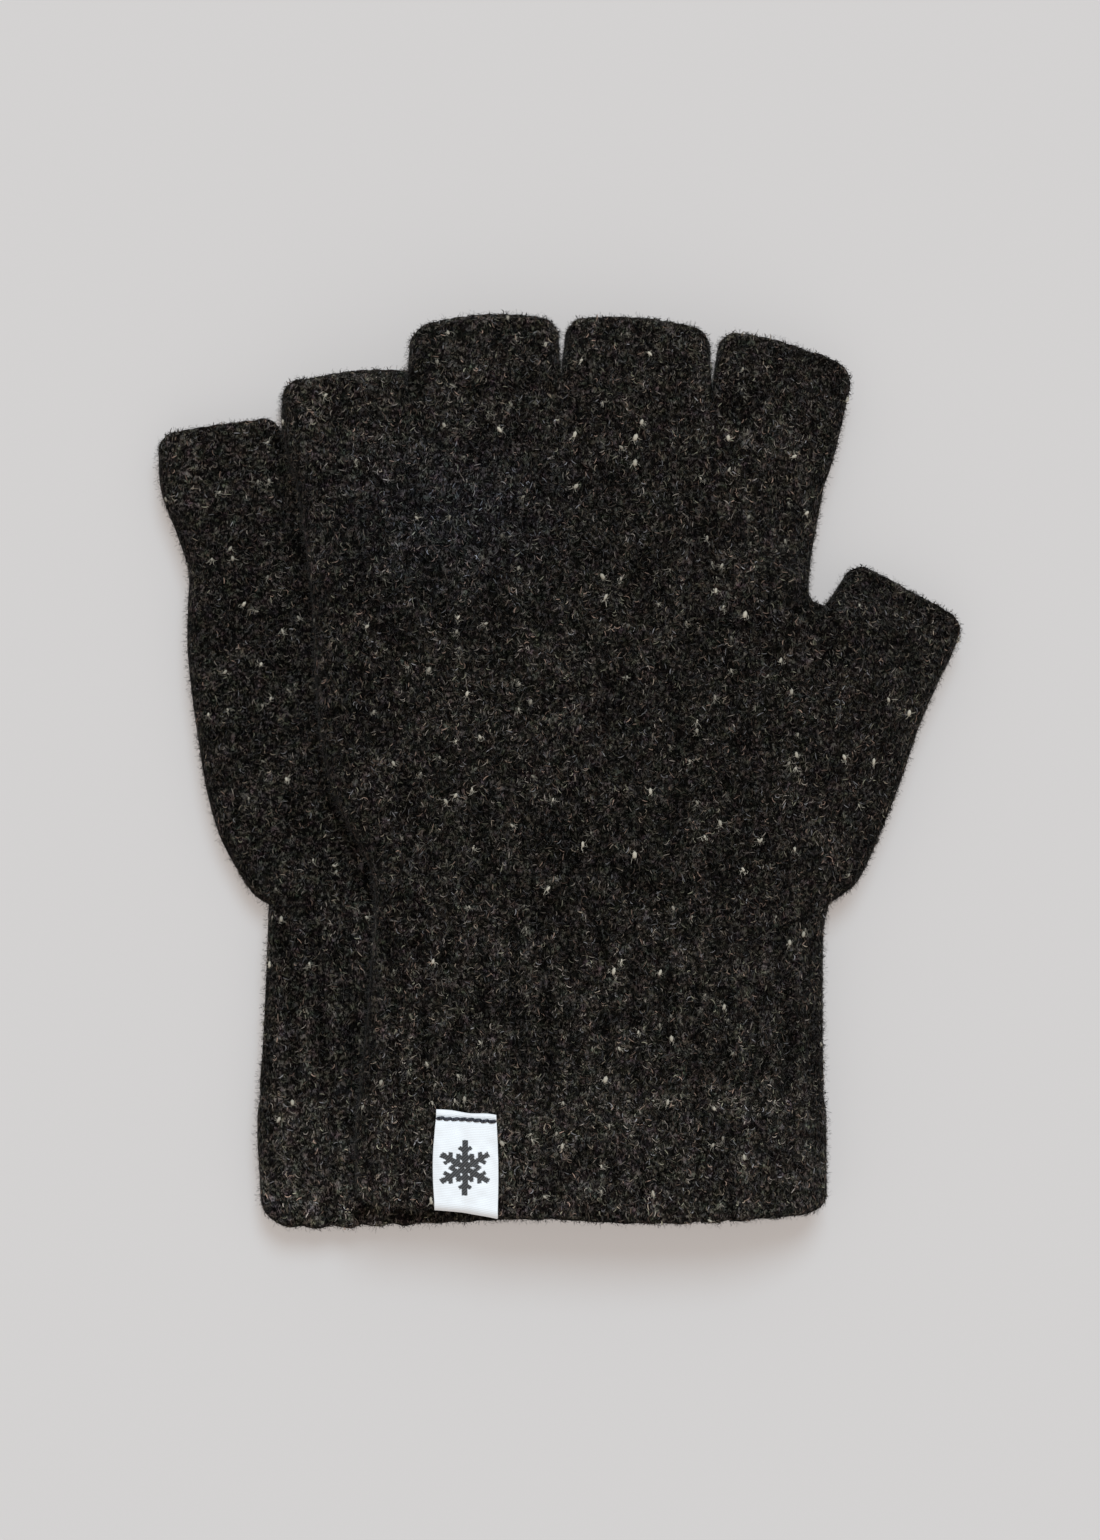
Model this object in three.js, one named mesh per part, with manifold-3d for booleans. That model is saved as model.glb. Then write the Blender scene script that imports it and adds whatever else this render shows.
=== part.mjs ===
// A pair of fingerless gloves in felted wool, lying flat, one on top of the other.
//
// Each glove is a flat bag of knitting: a ribbed cuff with a turned-up hem, a hand, four
// half-length finger tubes and a thumb tube, each finished with a bound-off edge. All are
// tubes pressed flat, so every one is built the same way: a flat outline with rounded
// sides, made hollow, and cut across where the knitting changes.
//
// Millimetres. X runs across the hand towards the thumbs, Y towards the fingertips and Z
// up. A glove is drawn with its origin at the middle of its hem edge, on its lower face.

import * as THREE from "three";
import { mergeVertices } from "three/addons/utils/BufferGeometryUtils.js";
import Module from "manifold-3d";

const wasm = await Module();
wasm.setup();

// ---- Driving dimensions ------------------------------------------------------------

const THICKNESS = 8.8;        // one glove lying flat: two walls and the space between
const WALL = 2.0;             // one layer of felted knitting
const GAP = 0.3;              // clearance between neighbouring pieces
const SIDE_ROUND = 3.6;       // how far the rounded side of a tube reaches in
const SIDE_STEPS = 3;         // facets up each half of a rounded side

const HEM_TOP = 28;           // height of the turned-up hem
const WRIST_Y = 63;           // where the ribbed cuff becomes the hand
const KNUCKLE_Y = 147;        // where the finger tubes leave the hand
const EDGE_BAND = 2.2;        // height of the bound-off edge at each mouth
const EDGE_INSET = 0.25;      // the bound-off edge is drawn in by this much

const THUMB_CROTCH = [46.4, 122.8];             // inner end of the thumb's root line
const THUMB_LEAN = THREE.MathUtils.degToRad(30); // thumb's lean away from the fingers

const UNDER_HAND_SHRINK = 0.905;                 // the lower glove's hand is felted shorter
const UNDER_TURN = THREE.MathUtils.degToRad(2.24); // how far the lower glove lies turned
const UNDER_OFFSET = [-19.6, 1.5];               // lower glove's hem, from the upper one's

const LABEL_CENTRE_X = -25.5; // along the hem, towards the little finger
const LABEL_WIDTH = 12.5;
const LABEL_HEIGHT = 22.3;    // of its front leaf, above the hem edge
const LABEL_BACK = 20;        // of its back leaf, inside the cuff
const LABEL_THICK = 0.4;
const LABEL_GAP = 0.25;
const STITCH_BAR = [11.6, 1.2, 0.4];             // the row of stitches that holds it on
const STITCH_Y = 20.3;

const OVERRUN = 12;           // how far a tube is drawn past its ends before they are cut
const SIDE_ROOM = 4;          // how far a line across a tube runs on past its sides
const CURVE_STEPS = 3;        // points per stretch of a curved side
const BOW_STEPS = 6;          // points along a bowed mouth

// ---- Materials ---------------------------------------------------------------------

const wool = (shade) => new THREE.MeshStandardMaterial({
  color: new THREE.Color(shade, shade, shade * 1.05), roughness: 0.95, metalness: 0,
});
const satin = () => new THREE.MeshStandardMaterial({
  color: 0xe9e7f0, roughness: 0.6, metalness: 0,
});
const thread = () => new THREE.MeshStandardMaterial({
  color: 0x3b3d44, roughness: 0.85, metalness: 0,
});

// ---- Solids: from three.js geometry to manifold and back ----------------------------

/** The closed solid bounded by a three.js geometry. */
function toSolid(geometry) {
  const bare = geometry.clone();
  bare.deleteAttribute("normal");
  bare.deleteAttribute("uv");
  const welded = mergeVertices(bare, 1e-4);
  return new wasm.Manifold(new wasm.Mesh({
    numProp: 3,
    vertProperties: Float32Array.from(welded.attributes.position.array),
    triVerts: Uint32Array.from(welded.index.array),
  }));
}

/** The three.js geometry of a solid. */
function toGeometry(solid) {
  const mesh = solid.getMesh();
  const geometry = new THREE.BufferGeometry();
  geometry.setAttribute("position", new THREE.BufferAttribute(mesh.vertProperties, 3));
  geometry.setIndex(new THREE.BufferAttribute(mesh.triVerts, 1));
  geometry.computeVertexNormals();
  return geometry;
}

/** A named mesh of a solid, in one material. */
function piece(name, solid, material) {
  const mesh = new THREE.Mesh(toGeometry(solid), material);
  mesh.name = name;
  return mesh;
}

// ---- Outlines ------------------------------------------------------------------------

const vector = ([x, y]) => new THREE.Vector2(x, y);

/** A side of a tube: a smooth curve through its points, run on straight past both ends. */
function runOn(side) {
  const points = side.map(vector);
  const steps = (points.length - 1) * CURVE_STEPS;
  const curve = points.length > 2 ? new THREE.SplineCurve(points).getPoints(steps) : points;
  const last = curve.length - 1;
  const before = curve[0].clone().sub(curve[1]).setLength(OVERRUN).add(curve[0]);
  const after = curve[last].clone().sub(curve[last - 1]).setLength(OVERRUN).add(curve[last]);
  return [before, ...curve.slice(1, last), after];
}

/** The outline between two sides that both run the same way. */
function between(left, right) {
  return new THREE.Shape([...runOn(left), ...runOn(right).reverse()]);
}

/** A flat slab of an outline with rounded sides, drawn in by inset all round. */
function roundedSlab(outline, inset) {
  const half = THICKNESS / 2 - inset;
  const geometry = new THREE.ExtrudeGeometry(outline, {
    depth: 0.2,
    bevelEnabled: true,
    bevelThickness: half - 0.1,
    bevelSize: SIDE_ROUND,
    bevelOffset: -SIDE_ROUND - inset,
    bevelSegments: SIDE_STEPS,
  });
  geometry.translate(0, 0, THICKNESS / 2 - 0.1);
  return toSolid(geometry);
}

/** An upright prism of an outline, taller than a glove, used to cut a tube across. */
function cutter(outline) {
  const geometry = new THREE.ExtrudeGeometry(outline, {
    depth: THICKNESS + 2, bevelEnabled: false,
  });
  geometry.translate(0, 0, -1);
  return toSolid(geometry);
}

/** A hollow tube of an outline, cut to a window, its outside drawn in by inset. */
function hollow(outline, window, inset = 0) {
  const shell = roundedSlab(outline, inset).subtract(roundedSlab(outline, WALL));
  return shell.intersect(cutter(window));
}

/**
 * A line across a tube from its left side to its right, bowed towards the fingertips,
 * moved along the tube by shift and run on past both sides.
 */
function crossLine([left, right, bow = 0], shift) {
  const a = vector(left);
  const b = vector(right);
  const along = b.clone().sub(a).normalize();
  const up = new THREE.Vector2(-along.y, along.x);
  const middle = a.clone().add(b).multiplyScalar(0.5).addScaledVector(up, 2 * bow + shift);
  a.addScaledVector(along, -SIDE_ROOM).addScaledVector(up, shift);
  b.addScaledVector(along, SIDE_ROOM).addScaledVector(up, shift);
  const steps = bow === 0 ? 1 : BOW_STEPS;
  return new THREE.QuadraticBezierCurve(a, middle, b).getPoints(steps);
}

/** The window between two lines across a tube. */
function band(low, lowShift, high, highShift) {
  return new THREE.Shape([...crossLine(low, lowShift), ...crossLine(high, highShift).reverse()]);
}

// ---- The glove's shape ---------------------------------------------------------------

/** A point in the thumb's own directions: across its root line, then along the thumb. */
function onThumb(across, along) {
  const [x, y] = THUMB_CROTCH;
  const cos = Math.cos(THUMB_LEAN);
  const sin = Math.sin(THUMB_LEAN);
  return [x + across * cos + along * sin, y - across * sin + along * cos];
}

// Each side runs from the root of the tube to its mouth, each mouth from left to right
// with the height of its bow last.
const FINGERS = {
  little_finger: {
    left: [[-59.2, KNUCKLE_Y], [-62, 159], [-61.6, 168]],
    right: [[-37.4, KNUCKLE_Y], [-37.7, 170.6]],
    mouth: [[-61.6, 168], [-37.7, 170.6], 0.6],
  },
  ring_finger: {
    left: [[-36.8, KNUCKLE_Y], [-36.4, 177.6]],
    right: [[-6.4, KNUCKLE_Y], [-6.7, 179]],
    mouth: [[-36.4, 177.6], [-6.7, 179], 3],
  },
  middle_finger: {
    left: [[-5.8, KNUCKLE_Y], [-5.2, 179.4]],
    right: [[23.3, KNUCKLE_Y], [23.5, 176.6]],
    mouth: [[-5.2, 179.4], [23.5, 176.6], 2.5],
  },
  index_finger: {
    left: [[23.9, KNUCKLE_Y], [24, 164], [27, 177]],
    right: [[46.6, KNUCKLE_Y], [48.8, 154], [51.6, 168.6]],
    mouth: [[27, 177], [51.6, 168.6], 2.2],
  },
};
const THUMB = {
  left: [onThumb(0.4, 0), onThumb(1.3, 10.6)],
  right: [onThumb(27.6, 0), onThumb(27, 4), onThumb(25, 10.7)],
  mouth: [onThumb(1.3, 10.6), onThumb(25, 10.7), 0.8],
};
const HAND = {
  littleSide: [[-43.4, WRIST_Y], [-44.8, 71], [-51.4, 84], [-54.8, 99], [-56.3, 125],
    [-59.2, KNUCKLE_Y]],
  indexSide: [[43.6, 127], [43.9, 134], [46.6, KNUCKLE_Y]],
  thumbSide: [[46.8, WRIST_Y], [53.4, 69.1], [60.4, 85.1], [65.9, 99], onThumb(27.6, 0)],
};
const CUFF = {
  left: [[-45.8, HEM_TOP], [-43.4, WRIST_Y]],
  right: [[46.3, HEM_TOP], [46.6, WRIST_Y]],
};
const HEM = {
  left: [[-47.2, 0], [-47.4, HEM_TOP]],
  right: [[47.3, 0], [47.0, HEM_TOP]],
};

/** The straight line across a tube at its root. */
const rootLine = (figure) => [figure.left[0], figure.right[0]];

/** The straight line across a tube at its far end. */
const endLine = (figure) => [figure.left.at(-1), figure.right.at(-1)];

/** The same figure with everything beyond the wrist shortened by the given ratio. */
function shortened(figure, ratio) {
  const shorten = (y) => (y > WRIST_Y ? WRIST_Y + (y - WRIST_Y) * ratio : y);
  const walk = (item) => {
    if (!Array.isArray(item)) return item;
    if (item.length === 2 && item.every(Number.isFinite)) return [item[0], shorten(item[1])];
    return item.map(walk);
  };
  return Object.fromEntries(Object.entries(figure).map(([key, item]) => [key, walk(item)]));
}

// ---- Sub-parts -----------------------------------------------------------------------

/** A tube from its root to its mouth, which is finished with a bound-off edge. */
function tubeWithEdge(prefix, name, figure) {
  const outline = between(figure.left, figure.right);
  const tubeWindow = band(rootLine(figure), GAP / 2, figure.mouth, -EDGE_BAND - GAP);
  const edgeWindow = band(figure.mouth, -EDGE_BAND, figure.mouth, 0);
  return [
    piece(`${prefix}_${name}`, hollow(outline, tubeWindow), wool(0.035)),
    piece(`${prefix}_${name}_edge`, hollow(outline, edgeWindow, EDGE_INSET), wool(0.045)),
  ];
}

/** The hand: open at the wrist, along the knuckles and at the root of the thumb. */
function hand(prefix, figure, thumb) {
  const lower = runOn(figure.thumbSide);
  const outline = new THREE.Shape([
    ...runOn(figure.littleSide),
    ...runOn(figure.indexSide).slice(1).reverse(),
    vector(thumb.left[0]),
    runOn(thumb.left).at(-1),
    ...lower.reverse(),
  ]);
  const wrist = WRIST_Y + GAP / 2;
  const knuckles = figure.littleSide.at(-1)[1] - GAP / 2;
  const window = new THREE.Shape([
    new THREE.Vector2(-70, wrist),
    new THREE.Vector2(-70, knuckles),
    new THREE.Vector2(50, knuckles),
    ...crossLine(rootLine(thumb), -GAP / 2),
    new THREE.Vector2(80, wrist),
  ]);
  return piece(`${prefix}_hand`, hollow(outline, window), wool(0.03));
}

/** The ribbed cuff between the hem and the wrist. */
function cuffRib(prefix) {
  const window = band(rootLine(CUFF), GAP / 2, endLine(CUFF), -GAP / 2);
  return piece(`${prefix}_cuff_rib`, hollow(between(CUFF.left, CUFF.right), window), wool(0.04));
}

/** The hem, knitting turned up inside and joined down, so a little wider than the cuff. */
function cuffHem(prefix) {
  const window = band(rootLine(HEM), 0, endLine(HEM), -GAP / 2);
  return piece(`${prefix}_cuff_hem`, hollow(between(HEM.left, HEM.right), window), wool(0.05));
}

/** One glove: its cuff, its hand and its five tubes. */
function glove(prefix, shrink) {
  const group = new THREE.Group();
  const thumb = shortened(THUMB, shrink);
  group.add(cuffHem(prefix), cuffRib(prefix), hand(prefix, shortened(HAND, shrink), thumb));
  for (const [name, figure] of Object.entries(FINGERS)) {
    group.add(...tubeWithEdge(prefix, name, shortened(figure, shrink)));
  }
  group.add(...tubeWithEdge(prefix, "thumb", thumb));
  return group;
}

/** The label: a ribbon folded over the hem edge, one leaf outside and one inside. */
function hemLabel() {
  const outside = THICKNESS + LABEL_GAP;
  const inside = THICKNESS - WALL - LABEL_GAP;
  const fold = -LABEL_GAP;
  const section = new THREE.Shape([
    new THREE.Vector2(LABEL_HEIGHT, outside),
    new THREE.Vector2(LABEL_HEIGHT, outside + LABEL_THICK),
    new THREE.Vector2(fold - LABEL_THICK, outside + LABEL_THICK),
    new THREE.Vector2(fold - LABEL_THICK, inside - LABEL_THICK),
    new THREE.Vector2(LABEL_BACK, inside - LABEL_THICK),
    new THREE.Vector2(LABEL_BACK, inside),
    new THREE.Vector2(fold, inside),
    new THREE.Vector2(fold, outside),
  ]);
  const ribbon = new THREE.ExtrudeGeometry(section, { depth: LABEL_WIDTH, bevelEnabled: false });
  const label = new THREE.Mesh(ribbon, satin());
  label.name = "hem_label";
  label.rotation.set(Math.PI / 2, Math.PI / 2, 0);
  label.position.set(LABEL_CENTRE_X - LABEL_WIDTH / 2, 0, 0);
  return label;
}

/** The row of stitches across the top of the label. */
function labelStitching() {
  const bar = new THREE.Mesh(new THREE.BoxGeometry(...STITCH_BAR), thread());
  bar.name = "label_stitching";
  const lift = LABEL_GAP + LABEL_THICK + LABEL_GAP + STITCH_BAR[2] / 2;
  bar.position.set(LABEL_CENTRE_X, STITCH_Y, THICKNESS + lift);
  return bar;
}

// ---- The pair --------------------------------------------------------------------------

const under = glove("under", UNDER_HAND_SHRINK);
under.rotation.z = UNDER_TURN;
under.position.set(UNDER_OFFSET[0], UNDER_OFFSET[1], 0);

const upper = glove("upper", 1);
upper.add(hemLabel(), labelStitching());
upper.position.z = THICKNESS + GAP;

const pair = new THREE.Group();
pair.add(under, upper);

// The pair's own origin is the middle of its underside.
const box = new THREE.Box3().setFromObject(pair, true);
const centre = box.getCenter(new THREE.Vector3());
pair.position.set(-centre.x, -centre.y, -box.min.z);

export default pair;
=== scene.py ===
# %% [markdown]
# # A pair of fingerless wool gloves
# Two half-finger gloves in thick, felted wool knitting lie flat, one on the other. A glove
# like this is knitted in the round as one tube: hem, ribbed cuff, hand, and five short
# tubes for the fingers and thumb. So every wool piece here is a flattened tube.
# All sizes are in millimetres on the glove's own pattern: the middle of the hem's edge is
# the origin, x runs across the hand and y runs to the fingertips.

# %% Load the frame
import bpy
import numpy as np
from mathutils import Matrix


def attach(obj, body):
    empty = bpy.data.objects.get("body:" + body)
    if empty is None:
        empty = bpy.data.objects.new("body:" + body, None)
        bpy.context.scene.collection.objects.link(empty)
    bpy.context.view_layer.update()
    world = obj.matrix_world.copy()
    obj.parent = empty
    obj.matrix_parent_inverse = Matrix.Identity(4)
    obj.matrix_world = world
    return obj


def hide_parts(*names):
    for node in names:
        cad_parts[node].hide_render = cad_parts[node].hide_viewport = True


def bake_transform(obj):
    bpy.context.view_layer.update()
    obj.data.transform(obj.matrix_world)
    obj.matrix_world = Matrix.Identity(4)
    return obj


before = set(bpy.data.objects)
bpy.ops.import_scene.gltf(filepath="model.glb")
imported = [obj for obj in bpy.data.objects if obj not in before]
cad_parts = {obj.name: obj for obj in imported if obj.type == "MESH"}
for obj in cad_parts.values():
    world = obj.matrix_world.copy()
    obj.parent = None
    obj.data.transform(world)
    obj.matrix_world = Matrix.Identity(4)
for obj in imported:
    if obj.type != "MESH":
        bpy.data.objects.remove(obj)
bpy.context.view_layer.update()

# %% [markdown]
# ## The pattern
# A side of a tube is drawn as a few points with a smooth curve through them. The slits
# between the fingers are two sides lying close together, which part only near the tips.
# The thumb has its own directions: across its root line, and along it. The two gloves share
# a pattern, and differ in the little finger's side, the hem's slope and how they lie.

# %% Sizes of one glove
HEM_TOP, WRIST, KNUCKLE = 28.0, 63.0, 147.0
MIDDLE_Z = 4.4             # height of the middle of a glove that lies on the table
UPPER_Z = 9.1              # how much higher the upper glove lies
WALL = 1.9                 # one layer of felted knitting
CROTCH = np.array([46.4, 122.8])  # where the thumb meets the index finger's side
LEAN = np.radians(30)      # how far the thumb points away from the fingers
THUMB_WIDTH = 27.6
MM = 0.001


def on_thumb(across, along):
    """Crotch, plus across times the root line's direction, plus along times the thumb's."""
    c, s = np.cos(LEAN), np.sin(LEAN)
    return (CROTCH[0] + across * c + along * s, CROTCH[1] - across * s + along * c)


FINGERS = {
    "little_finger": dict(
        left=[(-59.2, KNUCKLE), (-62.0, 157), (-61.9, 168.6)],
        right=[(-37.05, KNUCKLE), (-36.85, 152), (-36.9, 162), (-37.2, 171)], bow=0.6),
    "ring_finger": dict(
        left=[(-36.98, KNUCKLE), (-37.15, 152), (-37.1, 163), (-36.6, 178.5)],
        right=[(-6.34, KNUCKLE), (-6.12, 152), (-6.15, 166), (-6.6, 171.8),
               (-7.0, 180.3)], bow=2.2),
    "middle_finger": dict(
        left=[(-6.26, KNUCKLE), (-6.46, 152), (-6.42, 166), (-6.1, 171.5), (-5.1, 180.4)],
        right=[(23.76, KNUCKLE), (23.95, 152), (23.95, 162), (23.6, 168.4),
               (23.4, 178.0)], bow=1.7),
    "index_finger": dict(
        left=[(23.84, KNUCKLE), (23.64, 152), (23.66, 162), (24.1, 168.4), (25.6, 177.8)],
        right=[(46.6, KNUCKLE), (48.9, 154), (52.6, 170.2)], bow=1.8),
}
THUMB = dict(left=[on_thumb(0, 0), on_thumb(0.5, 5), on_thumb(0.8, 11.1)],
             right=[on_thumb(THUMB_WIDTH, 0), on_thumb(27.4, 4), on_thumb(26.4, 11.5)],
             bow=0.4)
INDEX_SIDE = [tuple(CROTCH), (43.9, 123.8), (43.2, 126.6), (44.2, 134), (46.6, KNUCKLE)]
THUMB_SIDE = [(47.6, WRIST), (50.6, 65.0), (54.5, 69.3), (61.1, 84.9), (65.9, 99),
              on_thumb(THUMB_WIDTH, 0)]
CUFF_LEFT = [(-47.0, 0), (-47.2, 14), (-46.8, 25), (-45.9, 33), (-44.8, 45), (-43.4, WRIST)]
CUFF_RIGHT = [(46.8, 0), (46.8, 14), (46.6, 26), (46.4, 35), (46.4, 50), (46.6, 58),
              (47.7, WRIST)]
LABEL_LEFT, LABEL_RIGHT, LABEL_TOP = -31.2, -19.3, 22.4

GLOVES = {
    "under": dict(
        little_side=[(-43.4, WRIST), (-46.8, 66), (-51.5, 75.4), (-53.4, 81), (-55.2, 90),
                     (-56.3, 100), (-57.3, 111), (-57.8, 121), (-57.4, 130), (-57.0, 138),
                     (-59.2, KNUCKLE)],
        hem_edge=[(-47, -0.4), (-44, -1.6), (-38, -2.4), (-20, -2.6), (0, -2.2), (47, -1)],
        little_end=((-61.9, 168.6), (-37.4, 171.2)),
        shrink=0.905, turn=np.radians(2.24), shift=(-12.417, -88.823, 0.0), seed=31),
    "upper": dict(
        little_side=[(-43.4, WRIST), (-44.8, 71), (-51.4, 84), (-54.8, 99), (-56.3, 125),
                     (-59.2, KNUCKLE)],
        hem_edge=[(-47, 3.5), (-40, 2.8), (-31.8, 2.1), (-25, 1.5), (-19, 0.6),
                  (-8.4, 0.3), (6, -0.3), (20, -0.5), (31, 0.1), (41.4, 0.8), (47, 1.1)],
        little_end=((-62.0, 167.7), (-37.2, 168.2)),
        shrink=1.0, turn=0.0, shift=(7.183, -90.323, UPPER_Z), seed=7),
}
print("gloves", list(GLOVES), "fingers", list(FINGERS))


# %% Curves through points
def smooth_curve(points, steps=12):
    """Catmull-Rom: half of 2p1 + (p2-p0)t + (2p0-5p1+4p2-p3)t^2 + (3p1-p0-3p2+p3)t^3."""
    p = np.asarray(points, float)
    if len(p) == 2:
        return p[0] + np.linspace(0, 1, steps + 1)[:, None] * (p[1] - p[0])
    q = np.vstack([p[:1], p, p[-1:]])
    p0, p1, p2, p3 = (q[k:len(q) - 3 + k, None] for k in range(4))
    t = np.linspace(0, 1, steps, endpoint=False)[None, :, None]
    curve = 0.5 * (2 * p1 + (p2 - p0) * t + (2 * p0 - 5 * p1 + 4 * p2 - p3) * t**2
                   + (3 * p1 - p0 - 3 * p2 + p3) * t**3)
    return np.vstack([curve.reshape(-1, 2), p[-1:]])


def walk(curve, share):
    """The points of a curve at shares of its length, from 0 to 1."""
    along = np.r_[0, np.cumsum(np.linalg.norm(np.diff(curve, axis=0), axis=1))]
    at = np.asarray(share) * along[-1]
    return np.stack([np.interp(at, along, curve[:, k]) for k in (0, 1)], -1)


def side_at(points, y):
    """The x of a side at each height y."""
    curve = smooth_curve(points)
    return np.interp(y, curve[:, 1], curve[:, 0])


def ease(t):
    """Smooth step: 3t^2 - 2t^3, held at 0 and 1 outside."""
    t = np.clip(t, 0, 1)
    return t * t * (3 - 2 * t)


# %% [markdown]
# ## Unevenness
# Felted cloth is never quite even. Value noise gives smooth lumps of any size: each corner
# of a grid has a random height, and the heights in between are eased from corner to corner.

# %% Lumps
def lumps(x, y, size, seed):
    """Value noise from -1 to 1: hashed heights at grid corners, eased between them."""
    u, v = x / size, y / size
    iu, iv = np.floor(u), np.floor(v)
    fu, fv = ease(u - iu), ease(v - iv)

    def corner(i, j):
        h = np.sin(i * 127.1 + j * 311.7 + seed * 74.7) * 43758.5453
        return 2 * (h - np.floor(h)) - 1

    low = corner(iu, iv) * (1 - fu) + corner(iu + 1, iv) * fu
    high = corner(iu, iv + 1) * (1 - fu) + corner(iu + 1, iv + 1) * fu
    return low * (1 - fv) + high * fv


# %% [markdown]
# ## One height for the whole glove
# The pieces of a glove are one cloth, so their heights come from one function. It takes
# the distance to the nearest fold: a side of the glove, or a slit between two fingers.
# Near a fold the front wall curves down to meet the back wall. Away from folds the cloth
# is flat, with ribs on the cuff and lumps everywhere.

# %% Distance to the folds
def folds_of(glove):
    """The outer folds and the slits of a glove, each as start and end points of stretches."""
    outer = [glove["little_side"], FINGERS["little_finger"]["left"],
             FINGERS["index_finger"]["right"], INDEX_SIDE, THUMB_SIDE,
             THUMB["left"], THUMB["right"], CUFF_LEFT, CUFF_RIGHT]
    inner = [FINGERS[a][side] for a, side in (
        ("little_finger", "right"), ("ring_finger", "left"), ("ring_finger", "right"),
        ("middle_finger", "left"), ("middle_finger", "right"), ("index_finger", "left"))]
    stretches = []
    for group in (outer, inner):
        curves = [smooth_curve(side, 6) for side in group]
        stretches.append((np.vstack([c[:-1] for c in curves]),
                          np.vstack([c[1:] for c in curves])))
    return stretches


def distance(x, y, starts, ends):
    """For each point, the least distance to any of the stretches."""
    p = np.stack([x.ravel(), y.ravel()], -1)
    least = np.full(len(p), 1e9)
    for a, b in zip(starts, ends):
        run = b - a
        t = np.clip(((p - a) @ run) / (run @ run), 0, 1)
        near = p - a - t[:, None] * run
        least = np.minimum(least, np.einsum("ij,ij->i", near, near))
    return np.sqrt(least).reshape(x.shape)


def dome(d, reach, power):
    """0 at the fold, rising to 1 at reach: (1 - (1 - d/reach)^power)^(1/power)."""
    return (1 - (1 - np.clip(d / reach, 0, 1))**power)**(1 / power)


# %% Ribs
RIB_PITCH = 6.0            # from one rib of the cuff to the next
TURN = 2 * np.pi


def rib(x, y):
    """Raised columns of the ribbed cuff, fading out at the wrist."""
    wave = np.cos(TURN * (x + 1.2 * lumps(x * 0, y, 30, 5)) / RIB_PITCH)
    return wave * (1 - ease((y - WRIST + 6) / 10))


print("a rib and the furrow beside it", [round(float(rib(np.array(x), np.array(40.))), 2)
                                         for x in (0.0, RIB_PITCH / 2)])


# %% Droop
# Where the lower glove ends under the upper one: heights, and how far right it reaches.
PROP_Y = [0, 28, 63, 85, 104, 118, 126, 134, 147, 165]
PROP_X = [28, 26.5, 25, 37, 47, 49, 38, 24, 22, 25]
PROP_END = 166             # and how far up


def droop(x, y):
    """How far the upper glove hangs past the lower one's right side and fingertips."""
    right = np.interp(y, PROP_Y, PROP_X)
    return np.clip(6.8 * ease((x - right) / 24) + 3.0 * ease((y - PROP_END) / 14), 0, 7.2)


# %% Height at a point
FRONT_RISE, BACK_DROP = 3.85, 4.1  # from the middle of the glove to its two outsides
PRESSED = 4.35             # no more than this below the middle, where it is pressed flat
SIDE_BEND, SLIT_BEND = 6.0, 2.6    # widths of the curve beside a fold
SLIT_OPENS = 167           # up to here two fingers lie close together


def cloth_height(x, y, name, glove, front):
    """Middle height, plus or minus the dome over the folds times half the thickness.

    Lumps of four sizes and the ribs are added, and the cloth rises a little at the slits.
    """
    (fa, fb), (sa, sb) = glove["folds"]
    d_side, d_slit = distance(x, y, fa, fb), distance(x, y, sa, sb)
    seed = glove["seed"]
    parting = 0.10 + 0.90 * ease((y - SLIT_OPENS) / 8)
    pillow = dome(d_side, SIDE_BEND, 2.1) * (1 - parting * (1 - dome(d_slit, SLIT_BEND, 2.6)))
    cover = ease(d_side / 7)
    broad = 0.45 * lumps(x, y, 42, seed) + 0.22 * lumps(x, y, 15, seed + 1)
    fine = 0.13 * lumps(x, y, 3.1, seed + 2) + 0.12 * lumps(x, y, 1.7, seed + 3)
    ribs = (0.24 + 0.10 * lumps(x, y, 20, seed + 4)) * rib(x, y)
    rise = 0.5 * dome(d_slit, 9, 2) * ease((y - 158) / 14) * ease(d_side / 9)
    if front:
        z = (FRONT_RISE + broad + rise) * pillow + (fine + ribs) * cover
    else:
        z = -(BACK_DROP + 0.3 * broad) * pillow - 0.4 * fine * cover
        z = np.maximum(z, -PRESSED)
    sag = droop(x, y) if name == "upper" else 0 * x
    return MIDDLE_Z + z - sag


for name, glove in GLOVES.items():
    glove["folds"] = folds_of(glove)
print("folds", [len(g[0]) for g in GLOVES["upper"]["folds"]], "stretches")


# %% [markdown]
# ## From the pattern to the table
# The lower glove's hand is felted shorter than the upper one's, and it lies a little
# turned. Both gloves are worked out on the same pattern and then laid in place.

# %% Lay a shape in place
FLOOR_GAP = 0.02           # so that the cloth and the floor don't share a plane


def lay(points, glove):
    """Shorten beyond the wrist, turn about z, shift, and change millimetres to metres.

    Nothing goes below the floor: the cloth is pressed flat against it.
    """
    x, y, z = np.moveaxis(np.asarray(points, float), -1, 0)
    y = np.where(y > WRIST, WRIST + (y - WRIST) * glove["shrink"], y)
    c, s = np.cos(glove["turn"]), np.sin(glove["turn"])
    laid = np.stack([x * c - y * s, x * s + y * c, z], -1) + glove["shift"]
    laid[..., 2] = np.maximum(laid[..., 2], FLOOR_GAP)
    return laid * MM


for name, glove in GLOVES.items():
    print(name, "glove's wrist at", lay((0, WRIST, MIDDLE_Z), glove).round(4))


# %% [markdown]
# ## From arrays to a mesh
# A piece could be built face by face, but whole arrays are quicker for thousands of faces.
# Its points go in as one list and its faces as another. What a finish needs to know at each
# point, such as its place on the pattern, goes in as an attribute.

# %% Put arrays into a mesh
HELD_AS = {"FLOAT": "value", "FLOAT_VECTOR": "vector", "FLOAT_COLOR": "color"}


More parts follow.
